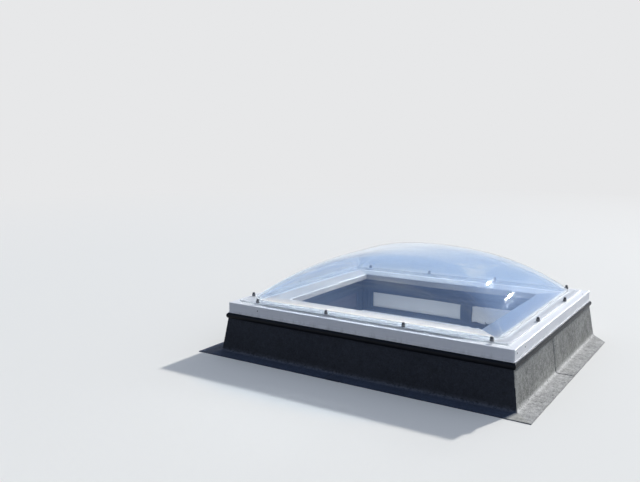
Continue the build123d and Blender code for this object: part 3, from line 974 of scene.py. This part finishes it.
class ROOFLIGHT_OT_felt(bpy.types.Operator):
    """Dresses the kerb in lapped felt sheets, with beads of bitumen at the laps"""

    bl_idname = "rooflight.felt"
    bl_label = "Felt Covering"

    def execute(self, context):
        felt = settings("felt")
        section = Section(felt)
        # The front and left felt is the same felt with painted shade: dark granules, a navy foot and a dim
        # fold line; the right and back copy holds the felt's own colours
        painted_shade_tone = felt_finish("felt_fresh", felt.painted_shade_tone, (0.040, 0.055, 0.088), (0.10, 0.115, 0.15), 0.45)
        lit_side_tone = felt_finish("felt_bleached", felt.lit_side_tone, (0.42, 0.42, 0.41), (0.70, 0.70, 0.68), 0.75)
        cut_ends = {"right": (1,), "back": (-1, 1), "left": (-1,)}
        lines = []
        for side in felt_sides():
            lap_s = -felt.lap_place if side.name == "left" else felt.lap_place
            ends = cut_ends.get(side.name, ())
            # The front and left sides get the copy with painted shade
            material = lit_side_tone if side.name in ("right", "back") else painted_shade_tone
            self.sheet(felt, section, side, "left", lap_s, ends, material)
            self.sheet(felt, section, side, "right", lap_s, ends, material)
            lines.append(self.lap_line(felt, section, side, lap_s - felt.lap))
        self.beads(lines)
        return {"FINISHED"}

    def corner_s(self, felt, side, end, outset, ends):
        """Where a sheet ends at a corner: mitred, or cut back on a slant on the foot."""
        if end in ends and outset > felt.base_outset:
            cut = (outset - felt.base_outset) / (felt.foot + felt.thickness - felt.base_outset)
            return side.half + felt.base_outset - felt.dog_ear * cut
        return side.half + outset

    def sheet(self, felt, section, side, where, lap_s, ends, material):
        """One sheet: the left one ends at the lap, the right one rides up over it."""
        columns = round((side.half + 0.1) / COLUMN_STEP)
        reaches = []
        for outset, _ in section.line:
            if where == "left":
                reaches.append((-self.corner_s(felt, side, -1, outset, ends), lap_s))
            else:
                reaches.append((lap_s - felt.lap, self.corner_s(felt, side, 1, outset, ends)))
        points = []
        for number in range(columns + 1):
            column = []
            for line in (section.line, section.under):
                for k, (outset, height) in enumerate(line):
                    start, end = reaches[k]
                    s = start + number / columns * (end - start)
                    ramp = clamped((lap_s + felt.lap_ramp - s) / felt.lap_ramp) if where == "right" else 0.0
                    lifted = felt.thickness * ramp * ramp * (3 - 2 * ramp)
                    bulge = 0.0
                    if line is section.line or lifted > 0:
                        bulge = felt_unevenness(side, s, section.travel[k], felt.seed)
                    if line is section.line and lifted > 0:
                        pressed = max(0.0, 1.0 - (s - start) / PRESSED_LENGTH)
                        lifted -= PRESSED_SHARE * felt.thickness * pressed * pressed
                    wave = 0.0
                    if section.travel[k] < FOOT_EDGE:
                        wave = -0.0015 - 0.0015 * field.noise(Vector((s * 9, side.reach * 7, felt.seed)))
                    on_face = clamped((section.travel[k] - section.travel[LIFT_TURNS_AT]) / LIFT_TURN_LENGTH)
                    tucked = clamped((FELT_TOP - TUCK_START - height) / TUCK_LENGTH)
                    shift = Vector((on_face, 1 - on_face)) * (lifted * tucked + bulge)
                    column.append(side.point(s, outset + wave + shift.x, max(0.0, height + shift.y)))
            points.append(column)
        node = f"felt_{side.name}_{where}"
        mesh = self.closed_strip(node, points, len(section.line))
        marks_and_painted_sun = [self.marks_and_painted_sun(felt, side, vertex.co, section.fold) for vertex in mesh.vertices]
        for key, values in zip(("fold_near", "edge_near", "sunned"), zip(*marks_and_painted_sun)):
            point_values(mesh, key, values)
        finished(f"covering_{side.name}_{where}", smooth(mesh, 40), material, "roof_felt", node)

    def marks_and_painted_sun(self, felt, side, point, fold):
        """How near a point is to the fold and the foot's edge, from 0 to 1, and its share of painted sunlight
        on the front foot past the line of the kerb's shadow.
        """
        outset = point.dot(side.out) - side.reach
        off_fold = sqrt((outset - fold.x) ** 2 + (point.z - fold.y) ** 2)
        off_edge = felt.foot - outset
        past = point.dot(side.along) - side.half - felt.base_outset + 0.25 * (outset - felt.base_outset)
        # Painted sunlight on the front foot, beyond the line of the kerb's cast shadow
        sunned = clamped(past / SHADOW_BLUR) if side.name == "front" else 0.0
        return exp(-((off_fold / FOLD_WEAR) ** 2)), exp(-((off_edge / EDGE_DARKENING_REACH) ** 2)), sunned

    def closed_strip(self, name, columns, half_count):
        """Skins a row of closed sections, each an outer line and then the underside in the same order."""
        vertices = [tuple(point) for column in columns for point in column]

        def at(column, k, low):
            return column * 2 * half_count + k + (half_count if low else 0)

        faces = []
        last = len(columns) - 1
        for c in range(last):
            for k in range(half_count - 1):
                for low in (False, True):
                    faces.append([at(c, k, low), at(c + 1, k, low), at(c + 1, k + 1, low), at(c, k + 1, low)])
            for k in (0, half_count - 1):
                faces.append([at(c, k, False), at(c, k, True), at(c + 1, k, True), at(c + 1, k, False)])
        for c in (0, last):
            for k in range(half_count - 1):
                faces.append([at(c, k, False), at(c, k + 1, False), at(c, k + 1, True), at(c, k, True)])
        mesh = bpy.data.meshes.new(name)
        mesh.from_pydata(vertices, [], faces)
        mesh.validate()
        return outward(mesh)

    def lap_line(self, felt, section, side, s):
        """The upper sheet's edge over the foot and a little way up the face, where bitumen shows."""
        shown = [point for point in section.line[2:] if point.y < felt.seam_height]
        return [side.point(s, outset + 0.0006, height + 0.0004) for outset, height in shown]

    def beads(self, lines):
        """Bitumen squeezed out along each lap."""
        vertices, edges = [], []
        for line in lines:
            first = len(vertices)
            vertices.extend(tuple(point) for point in line)
            edges.extend((first + k, first + k + 1) for k in range(len(line) - 1))
        mesh = bpy.data.meshes.new("lap_lines")
        mesh.from_pydata(vertices, edges, [])
        material = bitumen_finish()
        bead = run_tree(
            bead_tree(),
            place_object("lap_lines", mesh),
            "lap_beads",
            Thickness=0.0011,
            Unevenness=0.9,
            Lump_Size=60.0,
            Step=0.005,
            Material=material,
        )
        finished("lap_beads", smooth(bead, 60), material, "roof_felt")


# Fixings: half sections as radius and height in millimetres, with the number of segments round
FIXING_SHAPES = {
    # Weather cap: a short barrel with a rounded crown, a parting line and an open foot
    "cap": (32, [
        (0, 22.0), (3.2, 21.9), (5.8, 21.4), (7.7, 20.4), (8.7, 19.0), (9.05, 17.2), (9.2, 12.0),
        (8.9, 11.7), (8.9, 11.1), (9.2, 10.8), (9.5, 4.0), (9.5, 0.3), (9.2, 0.0), (7.5, 0.0),
        (7.5, 17.0), (6.0, 19.4), (0, 20.0),
    ]),
    # Milky cup: a dished floor and a thick rolled rim round the cap
    "cup": (32, [
        (3.4, 0.0), (10.8, 0.0), (11.6, 0.6), (12.0, 1.6), (12.0, 9.2), (11.8, 11.2), (11.1, 12.0),
        (10.4, 11.8), (10.0, 10.8), (10.0, 3.4), (9.6, 2.2), (8.5, 2.0), (3.4, 2.0), (3.4, 0.0),
    ]),
    # Rubber washer squeezed to a soft edge
    "washer": (32, [
        (3.4, 0.0), (10.8, 0.0), (11.7, 0.5), (12.0, 1.2), (11.7, 2.0), (10.8, 2.5), (3.4, 2.5), (3.4, 0.0),
    ]),
    # Pan head screw with a dished drive, its seat at height 0
    "pan_head": (20, [
        (0, 1.4), (1.0, 1.4), (1.2, 2.0), (2.6, 1.8), (3.6, 1.2), (4.0, 0.4), (4.0, 0.0), (2.0, 0.0),
        (2.0, -12.0), (0, -13.8),
    ]),
}
PAN_HEAD_HEIGHT = 0.002
ANY_TURN = 3.14


def fixing_shape(name):
    segments, section = FIXING_SHAPES[name]
    return turned(name, [(radius / 1000, height / 1000) for radius, height in section], segments)


class ROOFLIGHT_OT_fixings(bpy.types.Operator):
    """Sets the weather caps, cups, washers and screws where the frame holds them"""

    bl_idname = "rooflight.fixings"
    bl_label = "Fixings"

    def execute(self, context):
        fixings = settings("fixings")
        tree = fastener_tree()
        upright = Vector((0, 0, 1))
        stacked = (
            ("screw_caps", "cap", cap_finish(fixings.cap_colour), "cap_dark", fixings.cap_lean),
            ("screw_cups", "cup", cup_finish(fixings.cup_colour), "cup_pale", 0.0),
            ("screw_washers", "washer", rubber_finish(), "seal_rubber", 0.0),
        )
        for node, shape, material, slot, lean in stacked:
            seats = [(place, upright) for place in upright_seats(node, CAP_REACH)]
            self.scatter(tree, node, shape, seats, material, slot, lean)
        heads = [self.face_seat(low, high) for low, high in islands("frame_face_screws", FACE_SCREW_REACH)]
        self.scatter(tree, "frame_face_screws", "pan_head", heads, dark_screw_finish(), "screw_steel", 0.0)
        return {"FINISHED"}

    def scatter(self, tree, node, shape, seats, material, slot, lean):
        """Sets a shape on each seat, which is a place and the way that it faces."""
        points = bpy.data.meshes.new("seats")
        points.from_pydata([place for place, way in seats], [], [])
        facing = [part for place, way in seats for part in way]
        points.attributes.new("facing", "FLOAT_VECTOR", "POINT").data.foreach_set("vector", facing)
        model = place_object("model", fixing_shape(shape))
        mesh = run_tree(
            tree,
            place_object("seats", points),
            node,
            Fastener=model,
            Most_Turn=ANY_TURN,
            Most_Lean=lean,
            Seed=settings("fixings").seed,
            Material=material,
        )
        bpy.data.objects.remove(model)
        finished("set_" + node, mesh, material, slot, node)

    def face_seat(self, low, high):
        """Where a face screw's head sits and which way it faces."""
        size, middle = high - low, (low + high) / 2
        axis = max(range(3), key=lambda i: size[i])
        way = Vector((0, 0, 0))
        way[axis] = 1.0 if middle[axis] > 0 else -1.0
        return tuple(middle + way * (size[axis] / 2 - PAN_HEAD_HEIGHT)), way


# Finishes of the pieces that stay as the frame holds them
class ROOFLIGHT_OT_finishes(bpy.types.Operator):
    """Gives the frame, trim, boards, timber, panels, seals and hidden screws their finish"""

    bl_idname = "rooflight.finishes"
    bl_label = "Finishes"

    def execute(self, context):
        brushed_x, brushed_y = (2, 160, 160), (160, 2, 160)
        # Ledge tones by side: the front and left hold the boards' paint, the back's grey and the right's dark
        # slate are painted shade
        ledge_paint_and_painted_shade = {
            "front": (brushed_x, (0.64, 0.565, 0.49), (0.57, 0.505, 0.44)),
            "left": (brushed_y, (0.66, 0.60, 0.55), (0.58, 0.53, 0.485)),
            "back": (brushed_x, (0.44, 0.43, 0.42), (0.38, 0.375, 0.37)),
            "right": (brushed_y, (0.17, 0.20, 0.26), (0.14, 0.165, 0.22)),
        }
        starts = {}
        for side, paint in ledge_paint_and_painted_shade.items():
            starts["ledge_board_" + side] = paint_finish("ledge_paint_" + side, *paint)
        timber_x = timber_finish("timber_x", (1.2, 34, 34))
        timber_y = timber_finish("timber_y", (34, 1.2, 34))
        for side in SIDE_NAMES:
            timber = timber_x if side in ("front", "back") else timber_y
            starts["sole_plate_" + side] = starts["head_rail_" + side] = timber
        starts["stud"] = timber_finish("timber_z", (34, 34, 1.2))
        starts["base_gasket"] = rubber_finish()
        starts["glazing_tape"] = starts["spacer_tape"] = tape_finish()
        starts["dome_screws"] = starts["frame_anchors"] = steel_finish()
        starts["sheathing"] = sheathing_finish()
        starts["edge_trim"] = trim_finish()
        pale = panel_finish("infill_pale", (0.86, 0.84, 0.815), (0.78, 0.765, 0.745), (0.58, 0.58, 0.575))
        # The left wall's panels are the same board in painted shade, dark slate where the well's left side
        # lies in shadow
        dark = panel_finish("infill_dark", (0.165, 0.170, 0.225), (0.130, 0.135, 0.185), (0.21, 0.22, 0.26))
        for side in SIDE_NAMES:
            starts["infill_panel_" + side] = dark if side == "left" else pale
        starts["roof_frame"] = frame_finish(*frame_half())
        for name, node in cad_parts.items():
            for start, material in starts.items():
                if name.startswith(start):
                    self.paint(node, material)
        return {"FINISHED"}

    def paint(self, node, material):
        if not node.material_slots:
            node.data.materials.append(material)
        for slot in node.material_slots:
            slot.material = material


# Stage
KEY_FROM = (0.18, 0.84, 0.51)
KEY_WIDTH = 2.5
GLINTS_FROM = {"glint_high": (0.010, 0.908, 0.418), "glint_low": (0.136, 0.926, 0.353)}
GLINT_WIDTH = 0.5
GLINT_SHARE = 0.7
LAMP_COLOUR = (1.0, 0.975, 0.94)
FLOOR_REACHES = (2.0, 4.0, 8.0, 20.0, 60.0)
SHAFT_DEPTH = 1.6
EYE = (2.178, -4.601, 1.532)
EYE_DOWN = 9.01
EYE_TURN = 32.91
LENS = 41.2
SENSOR = 36.0


class ROOFLIGHT_OT_stage(bpy.types.Operator):
    """Lays the plain floor round the light well and sets the lights and the camera"""

    bl_idname = "rooflight.stage"
    bl_label = "Stage"

    def execute(self, context):
        self.floor()
        self.shaft()
        self.lights()
        self.sky()
        self.camera()
        return {"FINISHED"}

    def opening(self):
        """The outline of the clear opening under the light well."""
        return rounded_outline(low_corner("sole_plate_right").x, low_corner("sole_plate_back").y, 0.01)

    def floor(self):
        """A pale floor with an opening under the light well, which fades to the far colour."""
        stage = settings("stage")
        bounced, fade_starts, fade_full = (0.22, 0.26, 0.34), 4.5, 13.0
        rings = [[(x, y, 0.0) for x, y in self.opening()]]
        for reach in FLOOR_REACHES:
            rings.append([(x, y, 0.0) for x, y in rounded_outline(reach, reach, reach * 0.6)])
        mesh = loft("floor", rings)
        finish = Finish("floor_pale")
        tree = finish.tree
        mirrored = light_path(tree, "Is Glossy Ray").larger(light_path(tree, "Is Transmission Ray"))
        seen = light_path(tree, "Is Camera Ray").larger(mirrored)
        tone = mixed(seen, bounced, stage.floor_colour)
        plain = finish.shader(tone, 0.9, Specular_IOR_Level=0.1)
        far = put(tree, "ShaderNodeEmission", {"Color": shade(stage.far_colour), "Strength": 1.0})
        fade = band(length_of(finish.place()), fade_starts, fade_full) * seen
        mesh.materials.append(finish.closed(either_shader(fade, plain, far)))
        place_object("floor", mesh)

    def shaft(self):
        """A dim shaft below the opening, whose own surfaces glow as painted light in place of the room below.
        """
        rows = [[(x, y, z) for x, y in self.opening()] for z in (0.0, -SHAFT_DEPTH)]
        mesh = loft("shaft", [*rows, [(0.0, 0.0, -SHAFT_DEPTH)]])
        finish = Finish("shaft_dim")
        dark, pale = (0.36, 0.37, 0.38), (0.42, 0.43, 0.44)
        tone = mixed(grain(finish.place(), 2.0), dark, pale)
        # Painted light: the shaft's surfaces glow
        glow = {"Emission_Color": (1.0, 0.97, 0.93, 1.0), "Emission_Strength": settings("stage").painted_well_glow}
        mesh.materials.append(finish.painted(tone, 0.9, None, **glow))
        place_object("shaft", mesh)

    def lamp(self, name, towards, strength, width):
        """A lamp far off in a direction, as wide as an angle in degrees."""
        light = bpy.data.lights.new(name, "SUN")
        light.energy = strength
        light.angle = radians(width)
        light.color = LAMP_COLOUR
        lamp = place_object(name, light)
        lamp.rotation_mode = "QUATERNION"
        lamp.rotation_quaternion = Vector(towards).to_track_quat("Z", "Y")
        lamp.visible_transmission = False
        return lamp

    def lights(self):
        """A key light that gloss doesn't mirror, and two small lamps that only gloss mirrors."""
        strength = settings("stage").sun_strength
        self.lamp("key", KEY_FROM, strength, KEY_WIDTH).visible_glossy = False
        for name, towards in GLINTS_FROM.items():
            self.lamp(name, towards, strength * GLINT_SHARE, GLINT_WIDTH).visible_diffuse = False

    def sky(self):
        """Soft light all round, a blue sky with thin clouds for gloss and glass, and the plain far colour."""
        stage = settings("stage")
        horizon, mid_sky, zenith = (0.88, 0.93, 1.0), (0.42, 0.58, 0.92), (0.20, 0.32, 0.64)
        cloud, soft_low, soft_high = (0.92, 0.95, 1.0), (0.95, 0.97, 1.0), (0.66, 0.77, 1.0)
        world = bpy.data.worlds.new("soft_sky")
        world.use_nodes = True
        tree = world.node_tree
        tree.nodes.clear()
        ray = put(tree, "ShaderNodeTexCoord", None, "Generated")
        x, y, z = axes_of(ray)
        blue = mixed(band(x * 0.2 + z, 0.04, 0.36), horizon, mid_sky)
        blue = mixed(band(z, 0.34, 0.85), blue, zenith)
        drift = put(tree, "ShaderNodeMapping", {"Vector": ray, "Scale": (1.0, 1.0, 2.2)})
        clouds = x * 0.10 + grain(drift, 3.1, 6.0, 0.6)
        blue = mixed(band(clouds, 0.50, 0.62, 0.0, 0.8), blue, cloud)
        soft = mixed(band(z, 0.1, 0.9), soft_low, soft_high)
        level = band(y * 0.75 + x * 0.35, -0.8, 0.9, 0.40, 1.2) * stage.sky_strength
        mirrored = light_path(tree, "Is Glossy Ray").larger(light_path(tree, "Is Transmission Ray"))
        mirrored = mirrored * light_path(tree, "Diffuse Depth").below(0.5)
        level = level + mirrored * (stage.sky_glow - level)
        lit = put(tree, "ShaderNodeBackground", {"Color": mixed(mirrored, soft, blue), "Strength": level})
        far = put(tree, "ShaderNodeBackground", {"Color": shade(stage.far_colour), "Strength": 1.0})
        both = either_shader(light_path(tree, "Is Camera Ray"), lit, far)
        put(tree, "ShaderNodeOutputWorld", {"Surface": both})
        bpy.context.scene.world = world
        bpy.context.scene.view_settings.view_transform = "Standard"

    def camera(self):
        camera = bpy.data.cameras.new("photo_view")
        camera.lens = LENS
        camera.sensor_width = SENSOR
        camera.clip_end = 200.0
        viewer = place_object("photo_view", camera)
        viewer.location = EYE
        viewer.rotation_euler = (radians(90 - EYE_DOWN), 0.0, radians(EYE_TURN))
        bpy.context.scene.camera = viewer


class ROOFLIGHT_PT_panel(bpy.types.Panel):
    """Lists the rooflight's pieces and their settings"""

    bl_idname = "ROOFLIGHT_PT_panel"
    bl_label = "Rooflight"
    bl_space_type = "VIEW_3D"
    bl_region_type = "UI"
    bl_category = "Rooflight"

    def draw(self, context):
        for operator in STEPS:
            self.layout.operator(operator.bl_idname)
        for name in GROUPS:
            box = self.layout.box()
            group = settings(name)
            for key in group.bl_rna.properties.keys():
                if key not in ("rna_type", "name"):
                    box.prop(group, key)


GROUPS = {
    "dome": RooflightDome,
    "felt": RooflightFelt,
    "fixings": RooflightFixings,
    "stage": RooflightStage,
}
STEPS = (
    ROOFLIGHT_OT_finishes,
    ROOFLIGHT_OT_felt,
    ROOFLIGHT_OT_dome,
    ROOFLIGHT_OT_fixings,
    ROOFLIGHT_OT_stage,
)


def register():
    for name, group in GROUPS.items():
        bpy.utils.register_class(group)
        setattr(bpy.types.Scene, "rooflight_" + name, PointerProperty(type=group))
    for part in (*STEPS, ROOFLIGHT_PT_panel):
        bpy.utils.register_class(part)


def unregister():
    for part in (ROOFLIGHT_PT_panel, *reversed(STEPS)):
        bpy.utils.unregister_class(part)
    for name, group in reversed(GROUPS.items()):
        delattr(bpy.types.Scene, "rooflight_" + name)
        bpy.utils.unregister_class(group)


def main():
    register()
    bpy.ops.rooflight.finishes()
    bpy.ops.rooflight.felt()
    bpy.ops.rooflight.dome()
    bpy.ops.rooflight.fixings()
    bpy.ops.rooflight.stage()


if __name__ == "__main__":
    main()
